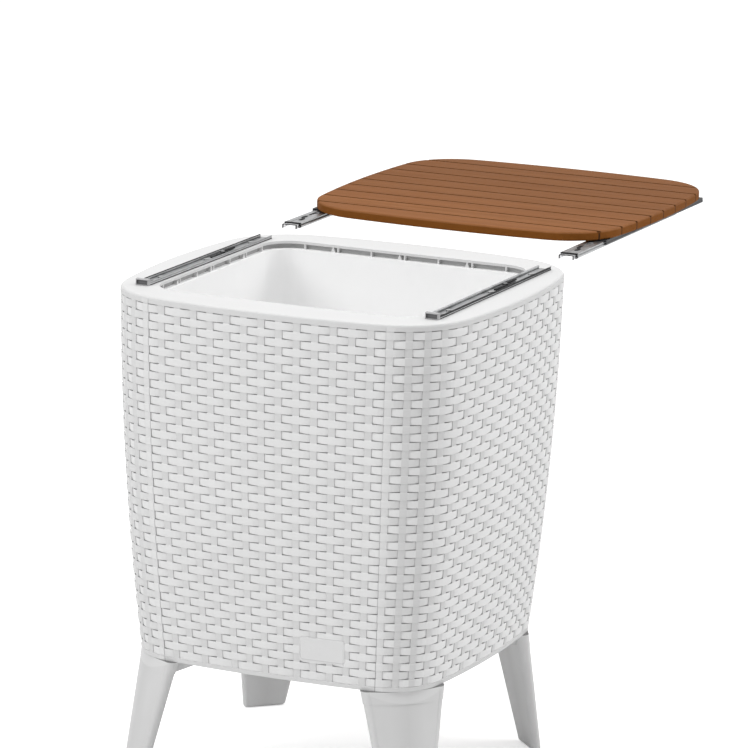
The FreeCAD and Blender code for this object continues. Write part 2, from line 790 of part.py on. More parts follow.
def slides():
    fixed_screws = []
    top_screws = []
    lower_y = middle_front - lower_cage_reach
    upper_y = middle_front + rail_length / 2 + upper_cage_shift - cage_length / 2
    for name, side in sides.items():
        save("fixed_rail_" + name, placed(fixed_rail(), side, rail_front))
        save("rail_stop_" + name, placed(rail_stop(), side, rail_front))
        save("release_lever_" + name, placed(release_lever(), side, lever_y))
        save("middle_rail_" + name, placed(middle_rail(), side, middle_front))
        save("middle_catch_" + name, placed(middle_catch(), side, middle_front))
        lower_cage = cage(lower_ball_x, lower_ball_height, lower_cage_height)
        lower_balls = balls(lower_ball_x, lower_ball_height)
        save("lower_cage_" + name, placed(lower_cage, side, lower_y))
        save("lower_balls_" + name, *[placed(ball, side, lower_y) for ball in lower_balls])
        upper_cage = cage(upper_ball_x, upper_ball_height, upper_cage_height)
        upper_balls = balls(upper_ball_x, upper_ball_height)
        save("upper_cage_" + name, placed(upper_cage, side, upper_y))
        save("upper_balls_" + name, *[placed(ball, side, upper_y) for ball in upper_balls])
        save("top_rail_" + name, placed(top_rail(), side, top_rail_front))
        for y in screw_rows(rail_screws, rail_screw_inset, rail_length):
            fixed_screws.append(placed(fixed_rail_screw(y), side, rail_front))
            top_screws.append(placed(top_screw(y), side, top_rail_front))
    save("fixed_rail_screws", *fixed_screws)
    save("top_rail_screws", *top_screws)


# Table top
def groove(y):
    """Tapered groove between two planks, running right across."""
    wide = groove_width / 2
    narrow = groove_floor / 2
    slope = (wide - narrow) / groove_depth
    raised = wide + slope * overrun
    x = -top_half - overrun
    floor = table_top_level - groove_depth
    high = table_top_level + overrun
    corners = [Vector(x, y - narrow, floor), Vector(x, y + narrow, floor),
               Vector(x, y + raised, high), Vector(x, y - raised, high)]
    return Part.Face(polygon(corners)).extrude(Vector(2 * (top_half + overrun), 0, 0))


def table_top():
    outline = bowed_square(top_half, top_side_radius, top_corner_radius, table_bottom)
    board = prism(outline, top_thickness)
    rims = [e for e in board.Edges if abs(e.Vertexes[0].Z - e.Vertexes[-1].Z) < 1e-6]
    board = board.makeFillet(top_edge_radius, rims)
    pitch = 2 * top_half / plank_count
    grooves = [groove(-top_half + pitch * index) for index in range(1, plank_count)]
    inside = prism(bowed_square(top_half - top_skirt, top_side_radius - top_skirt,
                                top_corner_radius - top_skirt, table_bottom - overrun),
                   top_thickness - top_plate + overrun)
    span_x = 2 * (rail_x - rail_pad_half)
    span_y = 2 * (top_half - top_skirt)
    step_x = span_x / pocket_columns
    step_y = span_y / pocket_rows
    cells = []
    for column in range(pocket_columns):
        for row in range(pocket_rows):
            x = -span_x / 2 + column * step_x
            y = -span_y / 2 + row * step_y
            cells.append(box(x + top_rib / 2, x + step_x - top_rib / 2,
                             y + top_rib / 2, y + step_y - top_rib / 2,
                             table_bottom - overrun, table_bottom + top_thickness))
    pockets = inside.common(Part.makeCompound(cells))
    board = board.cut(Part.makeCompound(grooves)).cut(pockets)
    board.translate(Vector(0, top_withdrawn, 0))
    for side in sides.values():
        for y in screw_rows(rail_screws, rail_screw_inset, rail_length):
            board = board.cut(placed(top_screw(y, screw_fit), side, top_rail_front))
    return board


# Drain
def drain_fitting():
    gasket_top = liner_floor + drain_gasket
    flange = cylinder(drain_flange_radius, 0, drain_y, gasket_top, gasket_top + drain_flange)
    tube = cylinder(drain_radius, 0, drain_y, drain_bottom, gasket_top + drain_flange / 2)
    bore = cylinder(drain_radius - drain_wall, 0, drain_y, drain_bottom - overrun,
                    gasket_top + drain_flange + overrun)
    return fused(flange, tube).cut(bore)


def drain_nut_ring():
    corners = []
    for index in range(6):
        turn = math.radians(60 * index)
        corners.append(Vector(drain_nut_radius * math.cos(turn), drain_y + drain_nut_radius * math.sin(turn),
                              tray_bottom - drain_nut))
    ring = prism(polygon(corners), drain_nut)
    return ring.cut(cylinder(drain_radius + drain_fit, 0, drain_y, tray_bottom - drain_nut - overrun,
                             tray_bottom + overrun))


def drain_seal():
    ring = cylinder(drain_flange_radius, 0, drain_y, liner_floor, liner_floor + drain_gasket)
    hole = cylinder(drain_radius + drain_fit, 0, drain_y, liner_floor - overrun, liner_floor + overrun)
    return ring.cut(hole)


def drain_plug():
    """Push-in bung with a finger tab."""
    seat = drain_bottom - plug_fit
    stem = cylinder(drain_radius - drain_wall - plug_fit, 0, drain_y, seat - plug_head / 2, seat + plug_stem)
    head = cylinder(plug_head_radius, 0, drain_y, seat - plug_head, seat)
    tab = box(-plug_head_radius * 0.6, plug_head_radius * 0.6, drain_y - plug_tab_width / 2,
              drain_y + plug_tab_width / 2, seat - plug_head - plug_tab_height, seat - plug_head / 2)
    return fused(stem, head, tab)


os.makedirs("parts", exist_ok=True)
wall_panels()
save("rim_frame", rim_frame())
save("liner", liner())
insulation()
save("base_tray", base_tray())
legs()
slides()
save("table_top", table_top())
save("drain_fitting", drain_fitting())
save("drain_nut", drain_nut_ring())
save("drain_gasket", drain_seal())
save("drain_plug", drain_plug())
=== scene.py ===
import json
import math

import bpy
import numpy as np
from mathutils import Matrix, Vector


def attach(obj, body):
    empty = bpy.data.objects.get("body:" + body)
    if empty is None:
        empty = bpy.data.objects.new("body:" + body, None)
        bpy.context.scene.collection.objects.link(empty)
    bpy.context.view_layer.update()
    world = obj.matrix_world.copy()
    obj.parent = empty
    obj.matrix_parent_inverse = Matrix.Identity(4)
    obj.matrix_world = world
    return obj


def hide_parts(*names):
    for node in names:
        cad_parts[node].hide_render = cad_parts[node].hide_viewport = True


# Camera: its axes and place were fitted to the tub's outlines in the photograph
FRAME_PIXELS = 748
FOCAL_PIXELS = 5190.94
SENSOR_WIDTH = 36.0
CAMERA_REACH = 100.0
CAMERA_RIGHT = (0.90920, 0.41566, 0.02333)
CAMERA_UP = (-0.11178, 0.18978, 0.97542)
CAMERA_BACK = (0.40103, -0.88947, 0.21905)
CAMERA_PLACE = (2.67171, -6.08281, 1.95399)

# Tub, in metres: a square with bowed sides that narrows towards its base
TUB_Y = -0.2535
RIM_TOP = 0.638
TUB_HEIGHT = 0.470
PANEL_TOP = 0.635
PANEL_BOTTOM = 0.168
RIM_HALF = 0.245
RIM_SIDE_RADIUS = 1.020
BASE_SIDE_RADIUS = 1.420
RIM_CORNER_RADIUS = 0.102
BASE_CORNER_RADIUS = 0.073
WAIST_TAPER = 0.012           # the sides have come in this far halfway down
BASE_TAPER = 0.035            # and this far at the base
PANEL_WALL = 0.0026
SIDE_POINTS = 90              # points on each bowed side of the outline
CORNER_POINTS = 60
RUN_STEP = 0.0005             # half the stretch that gives the outline's direction

# Seams between the panels
FRONT_RIGHT, BACK_RIGHT, BACK_LEFT, FRONT_LEFT = range(4)
SEAM_TOP_X = 0.161
SEAM_LEAN = 0.0165            # the seams have come in this far at the base
SEAM_BOW = 0.0027             # and stand this much wider halfway down than a straight line
SEAM_SHIFT = 0.0016           # the front panel sits this far to the right
SEAM_HALF_GAPS = (0.00005, 0.0002, 0.0002, 0.0002)
SEAM_CREVICES = (0.25, 0.38, 0.38, 0.38)        # how dark the seams are painted at the rim, as shade in the gap
SEAM_LOW_CREVICES = (0.95, 0.38, 0.38, 0.38)    # and at the base, where the front right one is painted darker
SEAM_SHADE_GROWS = 0.45             # its painted shade starts to grow this share of the way down

# Legs, with painted shade and light
LEG_LINE = 0.0010             # half the painted shadow line where a leg meets the panels
LEG_LINE_SHADE = 0.35
LEG_COLLAR = 0.015            # height of the painted light band at a leg's top
LEG_COLLAR_SOFT = 0.002       # its lower edge fades over this height
LEG_COLLAR_CURVE = 5.0        # and curves up by this times the square of the way across
# how light the painted light band is
LEG_COLLAR_LIGHT = 1.16
LEG_COLLAR_SHARE = 0.5
LEG_MIDDLE = 0.022            # the painted shade down a leg's middle ends this far across
LEG_MIDDLE_SHADE = 0.72
LEG_MIDDLE_SHARE = 0.22

# Woven relief: upright stakes with flat strands that run over one and under the next.
# Places along a panel count in stake spacings, places down it in rows.
ROWS = 43
TOP_BAND = 0.0058
BOTTOM_BAND = 0.0055
BAND_STEP = 0.0007            # a band's full height starts this far from the weave
FRONT_FIRST_STAKE = 0.2       # the front panel starts this far past a stake
FRONT_SPACINGS = 13.6
SIDE_FIRST_STAKE = -0.2       # the side panels start at the outer edge of a stake
SIDE_SPACINGS = 22.4
FRONT_DRIFT = (-0.06, 0.0, 1.0)    # stakes stray by this many spacings between two shares of the panel
SIDE_DRIFT = (0.62, 0.22, 0.86)
DRIFT_GROWTH = 0.70           # the drift is this much larger at the base than at the rim
STAKE_LEVEL = 0.0
STAKE_ROUND = 0.0002          # a stake's edges lie this much lower than its middle
OVER_LEVEL = 0.0010
UNDER_LEVEL = -0.0011
RISE_SHARE = 0.65             # a strand has reached its full height this far along
GROOVE_LEVEL = -0.0020
BAND_LEVEL = 0.0009
LAST_ROW_LEVEL = 0.0          # lower edge of the last strands, which run into the bottom band
STRAND_EDGE_DROP = 0.00035
STAKE_SHOULDER = 0.12
STAKE_EDGE = 0.190            # half a stake's width
STRAND_END = 0.202
CREVICE_END = 0.208
STAKE_LINES = (0.0, STAKE_SHOULDER, 0.175, STAKE_EDGE, STRAND_END, CREVICE_END, 0.32, 0.5)
GROOVE_EDGE = 0.040           # half the groove between two strands
STRAND_SHOULDER = 0.12
STRAND_ROUND = 0.30           # a strand is flat from this far inside its edge
STRAND_LINES = (0.0, GROOVE_EDGE, 0.058, STRAND_SHOULDER, STRAND_ROUND)
SEAM_SHADE = 0.024            # painted shade strip beside a seam
LINE_ROOM = 0.004             # upright mesh lines keep this far from that strip
INNER_STEP = 43               # the inner skin has one level mesh line in so many
SLACK = 1e-6                  # for comparing places

# Tones of the weave: painted shade on the stakes, in the crevices and round the corners
STAKE_SHADE = 0.83
FRONT_STAKE_SHARE = 0.65      # the painted shade on the stakes of the front and back is weaker than on the sides
SEAM_STAKE_SHARE = 0.55       # the painted shade on stakes next to a seam is weaker, except on the front panel
SEAM_REACH = 2 * STAKE_EDGE + 0.03    # they lie within this many spacings of it
# colour of the painted crevice shade
CREVICE_SHADE = (0.16, 0.16, 0.165)
STRAND_END_CREVICE = 0.54
STRAND_SIDE_CREVICE = 0.50
TOP_ROW_CREVICE = 0.60        # along the panel's top band
LAST_ROW_CREVICE = 0.16       # along its bottom band
CROSSING_SHADE = 0.9           # painted shade: round the corners a strand is as dark as the stake it crosses
DIVING_SHADE = 0.55            # and painted darker where it goes down towards a stake on its right
CORNER_FROM = 0.20            # a corner lies where the X part of the way outwards is between these
CORNER_TO = 0.90
CORNER_FADE = 0.15

# Bare plate on the front panel, between two stakes and over most of three rows
PLATE_FROM = 9 + STRAND_END
PLATE_TO = 12 - STAKE_SHOULDER
PLATE_TOP_ROW = 38 - STRAND_SHOULDER
PLATE_LAST_ROW = 41 - STRAND_ROUND
PLATE_LEVEL = 0.0011
PLATE_RIM = 0.01              # its sides lie lower over this share of a spacing
PLATE_RIM_DROP = 0.0006
PLATE_TONE = 0.40             # how far the plate takes the stakes' painted shade
PLATE_MIDDLE = (0.0787, 0.2143)
PLATE_HALF = (0.0304, 0.0158)
PLATE_CORNER = 0.0045
PLATE_LINE = 0.0009           # half the painted shade line inside the plate's edge
PLATE_CREVICE = 0.30

# Rim's inner band, with painted shade
OPENING_HALF = 0.184
OPENING_CORNER = 0.040
BAND_LOW = 0.6279
BAND_HIGH = 0.6345
BAND_DEPTH = 0.0032           # how far behind the opening's edge the shade starts
BAND_SOFT = 0.0004
BAND_FACING = 0.6             # only walls that face the opening at least this much are shaded
# how dark the painted shade on the recess wall is
BAND_SHADE = 0.60

# Slides: heights count from the rim's top, places across from a rail's middle
RAIL_X = 0.1975
RACE_REACH = 0.0076           # side faces start this far across
RAIL_BACK = 0.18              # rear end of a fixed rail behind the tub's middle
RAIL_FOOT = 0.0014            # height of the painted shadow line along a fixed rail's foot
OUTER_RACE = (0.0020, 0.0054)    # heights of a fixed rail's outer ball race
RAIL_BACK_SHADE = 0.7             # painted shade over that side at the rear end
MIDDLE_FRONT = 0.0070         # Y of a middle rail's front end
CAGE_FRONT = -0.0030
END_SHADE = 0.0035            # painted shade stretch on a rail's cut end
# colour of the painted shade on the rails
RAIL_SHADE_COLOUR = (0.010, 0.010, 0.011)
STOP_POCKET = (0.0076, 0.0014, 0.0070)    # half width, lower and upper edge
# painted shade in a stop's pocket
POCKET_SHADE_COLOUR = (0.19, 0.19, 0.195)
WEB_LINE = (-0.0042, -0.0029)    # painted shade line on a middle rail's web
WEB_TOP = 0.0070
UPPER_RACE = (0.0040, 0.0060)    # heights of a middle rail's upper ball race
UPPER_RACE_X = 0.004          # it lies beyond this far across
LEFT_RAIL_SHADE = 0.9             # the left slide's painted shade is stronger than the right one's
RIGHT_RAIL_SHADE = 0.45

# Table top
TOP_Y = 0.2755
TOP_HALF = 0.223
TOP_LEVEL = 0.6597
PLANK_COUNT = 10
GROOVE_HALF = 0.0026
GROOVE_START = 0.0003         # grooves are painted with shade from this far below the face
EDGE_DROP = 0.0028            # the top's edge starts this far below its face
TOP_THICKNESS = 0.0118
NOTCH_HALF = 0.0011           # a groove's shade is painted on down the edge as a thin line
BROAD_GRAIN = (5.0, 60.0, 60.0)    # how fine the grain is along X, Y and Z
STREAK_GRAIN = (14.0, 420.0, 420.0)
PORE_GRAIN = (45.0, 1300.0, 1300.0)
GRAIN_SHIFT_X = 7.0           # the most that a plank's grain is moved along it
GRAIN_SHIFT_Z = 0.37          # and how far it moves from plank to plank through the board
WOOD_DARK = (0.226, 0.091, 0.032)
WOOD_LIGHT = (0.300, 0.125, 0.046)
PLANK_TINT = (0.264, 0.103, 0.037)
PLANK_TINT_SHARE = 0.35       # the most that a plank takes of this tint
# painted shade towards the back planks
PLANK_SHADE_COLOUR = (0.125, 0.052, 0.021)
PLANK_SHADE_SHARE = 0.42
PLANK_SHADE_REACH = 6.5             # painted shade: the planks grow darker from the front up to here
STREAK_COLOUR = (0.150, 0.057, 0.019)
STREAK_SHARE = 0.40
PORE_COLOUR = (0.092, 0.035, 0.013)
PORE_SHARE = 0.55
# painted shade in the grooves
GROOVE_SHADE_COLOUR = (0.080, 0.030, 0.009)
# painted shade on the top's edge
EDGE_SHADE_COLOUR = (0.175, 0.056, 0.005)
EDGE_SHADE_SHARE = 0.85
# painted shade down the edge from the grooves
NOTCH_SHADE_COLOUR = (0.042, 0.016, 0.006)

# Plain looks: light and dark tone of the white mouldings, lit and shaded copies of one white plastic:
# the liner's lighter copy is painted light, the rim's and legs' darker copies are painted shade
WHITE_TONES = {
    "white_plastic": (0.86, 0.84),
    "rim_plastic": (0.68, 0.665),
    "liner_plastic": (0.96, 0.945),
    "woven_plastic": (0.765, 0.745),
    "leg_plastic": (0.640, 0.610),
    "drain_plastic": (0.78, 0.72),
}
SATIN_SPECULAR = 0.20
DULL_SPECULAR = 0.08

# Steel: bright and dull colour, least and most roughness
RAIL_STEEL = ((0.50, 0.505, 0.51), (0.28, 0.285, 0.29), 0.30, 0.48)
STEELS = {
    "zinc_steel": RAIL_STEEL,
    "fixed_rail_steel": RAIL_STEEL,
    "middle_rail_steel": RAIL_STEEL,
    # top rails: a dark copy of the rail steel, painted shade under the board
    "top_rail_steel": ((0.07, 0.07, 0.072), (0.035, 0.035, 0.037), 0.38, 0.55),
    "cage_steel": ((0.66, 0.66, 0.67), (0.50, 0.50, 0.51), 0.30, 0.48),
    "ball_steel": ((0.66, 0.66, 0.67), (0.56, 0.56, 0.57), 0.10, 0.18),
    "screw_steel": ((0.55, 0.55, 0.55), (0.42, 0.42, 0.42), 0.28, 0.42),
}

# Small mouldings: dark and light colour, least and most roughness
MOULDINGS = {
    "black_plastic": ((0.010, 0.010, 0.011), (0.022, 0.022, 0.024), 0.45, 0.60),
    "grey_plastic": ((0.40, 0.40, 0.405), (0.48, 0.48, 0.485), 0.40, 0.60),
    "rubber": ((0.030, 0.030, 0.030), (0.060, 0.060, 0.058), 0.65, 0.85),
}
BEAD_COLOUR = (0.86, 0.86, 0.83)
BEAD_EDGE_COLOUR = (0.74, 0.74, 0.71)

# Pieces that have a look of their own instead of their slot's
PIECE_LOOKS = {"liner": "liner_plastic", "rim_frame": "rim_plastic"}
for side in ("left", "right"):
    PIECE_LOOKS["leg_front_" + side] = "leg_plastic"
    PIECE_LOOKS["leg_back_" + side] = "leg_plastic"
    PIECE_LOOKS["fixed_rail_" + side] = "fixed_rail_steel"
    PIECE_LOOKS["middle_rail_" + side] = "middle_rail_steel"
    PIECE_LOOKS["top_rail_" + side] = "top_rail_steel"
    PIECE_LOOKS["lower_cage_" + side] = "cage_steel"

# Floor, world and lamps
FLOOR_REACH = 30.0
FLOOR_COLOUR = (0.86, 0.86, 0.86)
FLOOR_BOUNCE = (0.84, 0.84, 0.84)    # its colour where it only throws light back
FLOOR_LIFT = 0.45
WORLD_HORIZON = 0.44
WORLD_ZENITH = 0.80
LAMP_TARGET = (0.0, -0.1, 0.4)
LAMPS = {                     # place, width and power
    "overhead": ((0.3, -0.4, 4.6), 3.2, 60.0),
    "key": ((-2.8, -3.75, 3.6), 2.6, 92.0),
    "side": ((3.6, 2.4, 3.0), 2.4, 73.0),
}


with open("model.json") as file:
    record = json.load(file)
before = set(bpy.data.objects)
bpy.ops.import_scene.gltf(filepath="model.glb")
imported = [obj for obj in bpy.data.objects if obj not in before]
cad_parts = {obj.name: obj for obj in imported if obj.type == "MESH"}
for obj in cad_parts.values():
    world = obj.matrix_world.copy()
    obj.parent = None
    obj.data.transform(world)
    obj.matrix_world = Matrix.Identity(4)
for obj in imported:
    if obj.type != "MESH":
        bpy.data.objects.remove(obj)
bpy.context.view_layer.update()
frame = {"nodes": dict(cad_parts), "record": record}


# Camera
def make_camera():
    data = bpy.data.cameras.new("camera")
    data.sensor_width = SENSOR_WIDTH
    data.lens = SENSOR_WIDTH * FOCAL_PIXELS / FRAME_PIXELS
    data.clip_end = CAMERA_REACH
    camera = bpy.data.objects.new("camera", data)
    turn = Matrix((CAMERA_RIGHT, CAMERA_UP, CAMERA_BACK)).transposed()
    camera.matrix_world = Matrix.Translation(Vector(CAMERA_PLACE)) @ turn.to_4x4()
    bpy.context.collection.objects.link(camera)
    bpy.context.scene.camera = camera


# Material helpers
class Shader:
    """One material with its principled shader, and short ways to add and join nodes."""

    def __init__(self, name):
        self.material = bpy.data.materials.new(name)
        self.material.use_nodes = True
        self.nodes = self.material.node_tree.nodes
        self.links = self.material.node_tree.links
        self.surface = self.nodes["Principled BSDF"]
        self.place = self.add("ShaderNodeTexCoord").outputs["Object"]

    def add(self, kind, **settings):
        node = self.nodes.new(kind)
        for key, value in settings.items():
            setattr(node, key, value)
        return node

    def feed(self, socket, value):
        """Join an output to a socket, or set the socket where the value is plain."""
        if isinstance(value, bpy.types.NodeSocket):
            self.links.new(value, socket)
        elif isinstance(value, (tuple, list)) and len(value) == 3 and socket.type == "RGBA":
            socket.default_value = (*value, 1.0)
        else:
            socket.default_value = value

    def set(self, **inputs):
        """Feed the surface's sockets; an underscore stands for a space in a socket's name."""
        for key, value in inputs.items():
            self.feed(self.surface.inputs[key.replace("_", " ")], value)

    def stretched(self, scale, source=None):
        mapping = self.add("ShaderNodeMapping")
        self.feed(mapping.inputs["Vector"], source or self.place)
        self.feed(mapping.inputs["Scale"], scale)
        return mapping.outputs["Vector"]

    def noise(self, scale, detail=3.0, roughness=0.55, vector=None, distortion=0.0):
        node = self.add("ShaderNodeTexNoise")
        self.feed(node.inputs["Vector"], vector or self.place)
        self.feed(node.inputs["Scale"], scale)
        self.feed(node.inputs["Detail"], detail)
        self.feed(node.inputs["Roughness"], roughness)
        self.feed(node.inputs["Distortion"], distortion)
        return node.outputs["Fac"]

    def spread(self, value, low, high, to_low=0.0, to_high=1.0):
        node = self.add("ShaderNodeMapRange")
        self.feed(node.inputs["Value"], value)
        self.feed(node.inputs["From Min"], low)
        self.feed(node.inputs["From Max"], high)
        self.feed(node.inputs["To Min"], to_low)
        self.feed(node.inputs["To Max"], to_high)
        return node.outputs["Result"]

    def math(self, operation, a, b=0.0):
        node = self.add("ShaderNodeMath", operation=operation)
        self.feed(node.inputs[0], a)
        self.feed(node.inputs[1], b)
        return node.outputs["Value"]

    def size(self, value):
        return self.math("ABSOLUTE", value)

    def product(self, first, *others):
        result = first
        for other in others:
            result = self.math("MULTIPLY", result, other)
        return result

    def past(self, value, limit):
        """How far a value lies beyond a limit on either side of 0, and 0 within it."""
        return self.math("MAXIMUM", self.math("SUBTRACT", self.size(value), limit), 0.0)

    def length(self, a, b):
        """Length of a step that has these two parts."""
        square = self.math("ADD", self.math("POWER", a, 2.0), self.math("POWER", b, 2.0))
        return self.math("SQRT", square)

    def axes(self, source=None):
        node = self.add("ShaderNodeSeparateXYZ")
        self.feed(node.inputs["Vector"], source or self.place)
        return node.outputs["X"], node.outputs["Y"], node.outputs["Z"]

    def within(self, value, low, high):
        """1 between two limits, 0 outside them."""
        above = self.math("GREATER_THAN", value, low)
        below = self.math("LESS_THAN", value, high)
        return self.product(above, below)

    def mix(self, share, a, b):
        node = self.add("ShaderNodeMix", data_type="RGBA")
        self.feed(node.inputs["Factor"], share)
        self.feed(node.inputs["A"], a)
        self.feed(node.inputs["B"], b)
        return node.outputs["Result"]

    def attribute(self, name):
        return self.add("ShaderNodeAttribute", attribute_name=name).outputs["Fac"]

    def bump(self, height, strength, distance):
        node = self.add("ShaderNodeBump")
        self.feed(node.inputs["Height"], height)
        self.feed(node.inputs["Strength"], strength)
        self.feed(node.inputs["Distance"], distance)
        return node.outputs["Normal"]


def tinted(colour, factor):
    return tuple(factor * part for part in colour)


# White mouldings
def plate_line(shader):
    """Share of the painted shade line round the bare plate, along a rectangle with round corners."""
    x, y, z = shader.axes()
    out = []
    for value, middle, half in zip((x, z), PLATE_MIDDLE, PLATE_HALF):
        out.append(shader.past(shader.math("SUBTRACT", value, middle), half - PLATE_CORNER))
    beyond = shader.math("SUBTRACT", shader.length(*out), PLATE_CORNER - PLATE_LINE)
    line = shader.spread(shader.size(beyond), 0.0, PLATE_LINE, PLATE_CREVICE, 0.0)
    return shader.product(line, shader.math("LESS_THAN", y, TUB_Y))


def weave_shade(shader, tone, shade):
    """Painted shade: stakes a little darker than the strands, and dark lines in the crevices where they
    cross.
    """
    tone = shader.mix(shader.attribute("stake"), tone, tinted(shade, STAKE_SHADE))
    crevice = shader.math("MAXIMUM", shader.attribute("crevice"), plate_line(shader))
    return shader.mix(crevice, tone, CREVICE_SHADE)


def rim_shade(shader, tone, shade):
    """Painted shade on the wall of the recess under the rim's inner edge, behind the ribs."""
    x, y, z = shader.axes()
    flat = OPENING_HALF - OPENING_CORNER
    out_x = shader.past(x, flat)
    out_y = shader.past(shader.math("SUBTRACT", y, TUB_Y), flat)
    away = shader.length(out_x, out_y)
    behind = shader.math("SUBTRACT", away, OPENING_CORNER)
    deep = shader.spread(behind, BAND_DEPTH - BAND_SOFT, BAND_DEPTH + BAND_SOFT)
    facing_x, facing_y = shader.axes(shader.add("ShaderNodeNewGeometry").outputs["Normal"])[:2]
    faced = shader.math("ADD", shader.product(shader.size(facing_x), out_x),
                        shader.product(shader.size(facing_y), out_y))
    wall = shader.math("GREATER_THAN", faced, shader.product(away, BAND_FACING))
    band = shader.product(deep, wall, shader.within(z, BAND_LOW, BAND_HIGH))
    return shader.mix(band, tone, tinted(shade, BAND_SHADE))


def leg_shade(shader, tone, shade):
    """Painted shade down a leg's middle, a painted light band at its top, and a thin painted shadow line
    where it meets the panels.
    """
    x, y, z = shader.axes()
    tub_y = shader.math("SUBTRACT", y, TUB_Y)
    apart = shader.math("SUBTRACT", shader.size(x), shader.size(tub_y))
    across = shader.size(shader.product(apart, math.sqrt(0.5)))
    middle = shader.spread(across, 0.0, LEG_MIDDLE, LEG_MIDDLE_SHARE, 0.0)
    tone = shader.mix(middle, tone, tinted(shade, LEG_MIDDLE_SHADE))
    rise = shader.product(shader.math("POWER", across, 2.0), LEG_COLLAR_CURVE)
    level = shader.math("SUBTRACT", z, rise)
    collar_low = PANEL_BOTTOM - LEG_COLLAR
    collar = shader.spread(level, collar_low - LEG_COLLAR_SOFT, collar_low, 0.0, LEG_COLLAR_SHARE)
    tone = shader.mix(collar, tone, tinted(shade, LEG_COLLAR_LIGHT))
    line = shader.within(z, PANEL_BOTTOM - LEG_LINE, PANEL_BOTTOM + LEG_LINE)
    return shader.mix(line, tone, tinted(shade, LEG_LINE_SHADE))


def white_plastic(name, light, dark, extra=None):
    """Satin moulded plastic with faint mottling and a fine spark-eroded grain."""
    shader = Shader(name)
    shade = (dark, dark, dark)
    cloud = shader.spread(shader.noise(scale=9.0), 0.35, 0.65)
    tone = shader.mix(cloud, shade, (light, light, light))
    if extra:
        tone = extra(shader, tone, shade)
    fine = shader.noise(scale=1500.0, detail=2.0)
    shader.set(Base_Color=tone,
               Roughness=shader.spread(fine, 0.3, 0.7, to_low=0.52, to_high=0.64),
               Specular_IOR_Level=SATIN_SPECULAR,
               Normal=shader.bump(fine, strength=0.10, distance=0.0003))
    return shader.material


# Table top
def plank_place(shader, plank, chance):
    """Place in the grain, moved for each plank so that no two have the same grain."""
    shift = shader.add("ShaderNodeCombineXYZ")
    shader.feed(shift.inputs["X"], shader.product(chance, GRAIN_SHIFT_X))
    shader.feed(shift.inputs["Z"], shader.product(plank, GRAIN_SHIFT_Z))
    moved = shader.add("ShaderNodeVectorMath", operation="ADD")
    shader.feed(moved.inputs[0], shader.place)
    shader.feed(moved.inputs[1], shift.outputs["Vector"])
    return moved.outputs["Vector"]


def wood_look_plastic():
    """Brown planks with a fine grain along X, a tint of their own each, and dark pores; painted shade in
    the grooves, on the edge, down the edge from the grooves, and growing towards the back.
    """
    shader = Shader("wood_look_plastic")
    y, z = shader.axes()[1:]
    pitch = 2 * TOP_HALF / PLANK_COUNT
    along = shader.math("DIVIDE", shader.math("ADD", y, TOP_HALF - TOP_Y), pitch)
    plank = shader.math("FLOOR", along)
    draw = shader.add("ShaderNodeTexWhiteNoise", noise_dimensions="1D")
    shader.feed(draw.inputs["W"], plank)
    chance = draw.outputs["Value"]
    place = plank_place(shader, plank, chance)
    broad = shader.noise(1.0, detail=4.0, distortion=0.6, vector=shader.stretched(BROAD_GRAIN, place))
    streak = shader.noise(1.0, detail=5.0, roughness=0.65, vector=shader.stretched(STREAK_GRAIN, place))
    pores = shader.noise(1.0, detail=3.0, roughness=0.7, vector=shader.stretched(PORE_GRAIN, place))
    tone = shader.mix(shader.spread(broad, 0.3, 0.7), WOOD_DARK, WOOD_LIGHT)
    tone = shader.mix(shader.spread(chance, 0.0, 1.0, 0.0, PLANK_TINT_SHARE), tone, PLANK_TINT)
    # painted shade, darker towards the back planks
    tone = shader.mix(shader.spread(along, 0.0, PLANK_SHADE_REACH, 0.0, PLANK_SHADE_SHARE), tone, PLANK_SHADE_COLOUR)
    tone = shader.mix(shader.spread(streak, 0.45, 0.75, 0.0, STREAK_SHARE), tone, STREAK_COLOUR)
    tone = shader.mix(shader.spread(pores, 0.60, 0.75, 0.0, PORE_SHARE), tone, PORE_COLOUR)
    from_groove = shader.size(shader.math("SUBTRACT", along, shader.math("ROUND", along)))
    between_planks = shader.within(along, 0.5, PLANK_COUNT - 0.5)
    edge_top = TOP_LEVEL - EDGE_DROP
    # painted shade in the grooves
    groove = shader.product(shader.math("LESS_THAN", from_groove, GROOVE_HALF / pitch),
                            shader.within(z, edge_top, TOP_LEVEL - GROOVE_START), between_planks)
    tone = shader.mix(groove, tone, GROOVE_SHADE_COLOUR)
    # painted shade on the top's side faces, fading out up the rounded edge
    edge = shader.spread(z, edge_top, TOP_LEVEL - EDGE_DROP / 2, EDGE_SHADE_SHARE, 0.0)
    tone = shader.mix(edge, tone, EDGE_SHADE_COLOUR)
    # a groove's shade painted on down the side faces
    notch = shader.product(shader.math("LESS_THAN", from_groove, NOTCH_HALF / pitch),
                           shader.within(z, TOP_LEVEL - TOP_THICKNESS, edge_top), between_planks)
    tone = shader.mix(notch, tone, NOTCH_SHADE_COLOUR)
    grain = shader.mix(0.5, streak, pores)
    shader.set(Base_Color=tone,
               Roughness=shader.spread(streak, 0.3, 0.7, to_low=0.66, to_high=0.82),
               Specular_IOR_Level=DULL_SPECULAR,
               Normal=shader.bump(grain, strength=0.35, distance=0.0006))
    return shader.material


# Slides
def cut_end(front):
    """Painted shade on the cut end of a rail whose front end lies at the given Y."""
    def shade(shader, tone):
        y = shader.axes()[1]
        return shader.mix(shader.math("LESS_THAN", y, front + END_SHADE), tone, RAIL_SHADE_COLOUR)
    return shade


